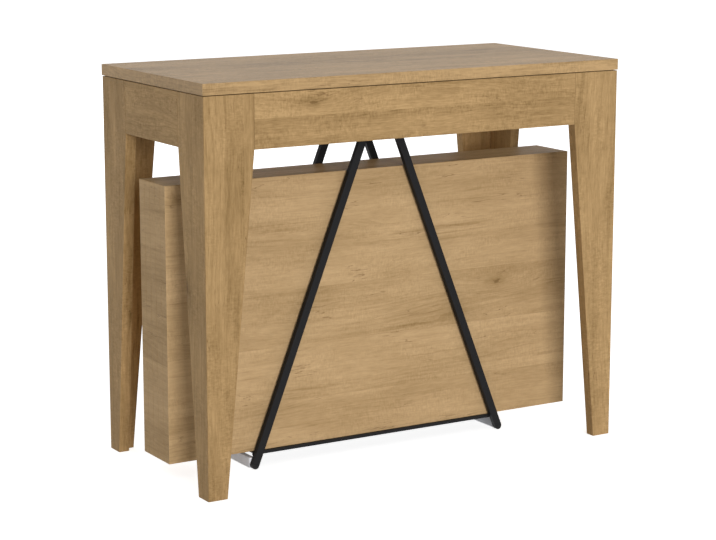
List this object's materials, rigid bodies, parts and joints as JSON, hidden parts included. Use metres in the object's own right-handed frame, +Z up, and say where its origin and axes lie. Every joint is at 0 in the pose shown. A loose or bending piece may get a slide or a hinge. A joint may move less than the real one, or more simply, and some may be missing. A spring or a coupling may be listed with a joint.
{
  "type": "extendable console table",
  "caption": "Oak-look console table whose front frame pulls out on telescopic rails; loose leaves are stored on edge in a black steel A-frame rack under the top.",
  "frame": {"origin": "on the floor under the middle of the closed table", "axes": "+X along the long side to the right, +Y to the back, +Z up; the front faces -Y"},
  "size_m": [0.9, 0.42, 0.75],
  "materials": {
    "oak_laminate": "matt oak-grain melamine with matching edge banding",
    "backing_board": "plain board, unseen",
    "aluminium": "mill-finish extrusion",
    "black_steel": "matt black powder coat",
    "black_plastic": "matt black moulded plastic",
    "grey_steel": "light grey satin"
  },
  "bodies": {
    "fixed_frame": {"top": "oak_laminate", "rear_apron": "oak_laminate", "rear_backing_board": "backing_board", "left_apron": "oak_laminate", "right_apron": "oak_laminate", "left_backing_board": "backing_board", "right_backing_board": "backing_board", "rear_left_leg_rear_board": "oak_laminate", "rear_left_leg_side_board": "oak_laminate", "rear_right_leg_rear_board": "oak_laminate", "rear_right_leg_side_board": "oak_laminate", "rail_0_left": "aluminium", "rail_0_right": "aluminium", "rack_front_left_tube": "black_steel", "rack_front_right_tube": "black_steel", "rack_rear_left_tube": "black_steel", "rack_rear_right_tube": "black_steel", "rack_front_left_foot_plug": "black_plastic", "rack_front_right_foot_plug": "black_plastic", "rack_rear_left_foot_plug": "black_plastic", "rack_rear_right_foot_plug": "black_plastic", "rack_left_foot_bar": "grey_steel", "rack_right_foot_bar": "grey_steel", "rack_tray": "black_steel", "rack_head_plate": "black_steel"},
    "front_frame": {"front_apron": "oak_laminate", "front_backing_board": "backing_board", "front_left_leg_front_board": "oak_laminate", "front_left_leg_side_board": "oak_laminate", "front_right_leg_front_board": "oak_laminate", "front_right_leg_side_board": "oak_laminate", "rail_9_left": "aluminium", "rail_9_right": "aluminium", "front_left_rail_bracket": "grey_steel", "front_right_rail_bracket": "grey_steel"},
    "rail_stage_1": {"rail_1_left": "aluminium", "rail_1_right": "aluminium"},
    "rail_stage_2": {"rail_2_left": "aluminium", "rail_2_right": "aluminium"},
    "rail_stage_3": {"rail_3_left": "aluminium", "rail_3_right": "aluminium"},
    "rail_stage_4": {"rail_4_left": "aluminium", "rail_4_right": "aluminium"},
    "rail_stage_5": {"rail_5_left": "aluminium", "rail_5_right": "aluminium"},
    "rail_stage_6": {"rail_6_left": "aluminium", "rail_6_right": "aluminium"},
    "rail_stage_7": {"rail_7_left": "aluminium", "rail_7_right": "aluminium"},
    "rail_stage_8": {"rail_8_left": "aluminium", "rail_8_right": "aluminium"},
    "leaf_1": {"leaf_1": "oak_laminate"},
    "leaf_2": {"leaf_2": "oak_laminate"},
    "leaf_3": {"leaf_3": "oak_laminate"},
    "leaf_4": {"leaf_4": "oak_laminate"},
    "leaf_5": {"leaf_5": "oak_laminate"}
  },
  "joints": [
    {"name": "extension", "type": "slide", "parent": "fixed_frame", "child": "front_frame", "axis": [0, -1, 0], "range_m": [0, 2.6]},
    {"name": "rail_stage_1_slide", "type": "slide", "parent": "fixed_frame", "child": "rail_stage_1", "axis": [0, -1, 0], "range_m": [0, 0.2891]},
    {"name": "rail_stage_2_slide", "type": "slide", "parent": "fixed_frame", "child": "rail_stage_2", "axis": [0, -1, 0], "range_m": [0, 0.578]},
    {"name": "rail_stage_3_slide", "type": "slide", "parent": "fixed_frame", "child": "rail_stage_3", "axis": [0, -1, 0], "range_m": [0, 0.8669]},
    {"name": "rail_stage_4_slide", "type": "slide", "parent": "fixed_frame", "child": "rail_stage_4", "axis": [0, -1, 0], "range_m": [0, 1.1558]},
    {"name": "rail_stage_5_slide", "type": "slide", "parent": "fixed_frame", "child": "rail_stage_5", "axis": [0, -1, 0], "range_m": [0, 1.4446]},
    {"name": "rail_stage_6_slide", "type": "slide", "parent": "fixed_frame", "child": "rail_stage_6", "axis": [0, -1, 0], "range_m": [0, 1.7335]},
    {"name": "rail_stage_7_slide", "type": "slide", "parent": "fixed_frame", "child": "rail_stage_7", "axis": [0, -1, 0], "range_m": [0, 2.0224]},
    {"name": "rail_stage_8_slide", "type": "slide", "parent": "fixed_frame", "child": "rail_stage_8", "axis": [0, -1, 0], "range_m": [0, 2.3113]},
    {"name": "leaf_1_slide", "type": "slide", "parent": "fixed_frame", "child": "leaf_1", "axis": [1, 0, 0], "range_m": [-0.9, 0.9]},
    {"name": "leaf_2_slide", "type": "slide", "parent": "fixed_frame", "child": "leaf_2", "axis": [1, 0, 0], "range_m": [-0.9, 0.9]},
    {"name": "leaf_3_slide", "type": "slide", "parent": "fixed_frame", "child": "leaf_3", "axis": [1, 0, 0], "range_m": [-0.9, 0.9]},
    {"name": "leaf_4_slide", "type": "slide", "parent": "fixed_frame", "child": "leaf_4", "axis": [1, 0, 0], "range_m": [-0.9, 0.9]},
    {"name": "leaf_5_slide", "type": "slide", "parent": "fixed_frame", "child": "leaf_5", "axis": [1, 0, 0], "range_m": [-0.9, 0.9]}
  ],
  "couplings": [
    {"joint": "rail_stage_1_slide", "follows": "extension", "ratio": 0.11111},
    {"joint": "rail_stage_2_slide", "follows": "extension", "ratio": 0.22222},
    {"joint": "rail_stage_3_slide", "follows": "extension", "ratio": 0.33333},
    {"joint": "rail_stage_4_slide", "follows": "extension", "ratio": 0.44444},
    {"joint": "rail_stage_5_slide", "follows": "extension", "ratio": 0.55556},
    {"joint": "rail_stage_6_slide", "follows": "extension", "ratio": 0.66667},
    {"joint": "rail_stage_7_slide", "follows": "extension", "ratio": 0.77778},
    {"joint": "rail_stage_8_slide", "follows": "extension", "ratio": 0.88889}
  ]
}
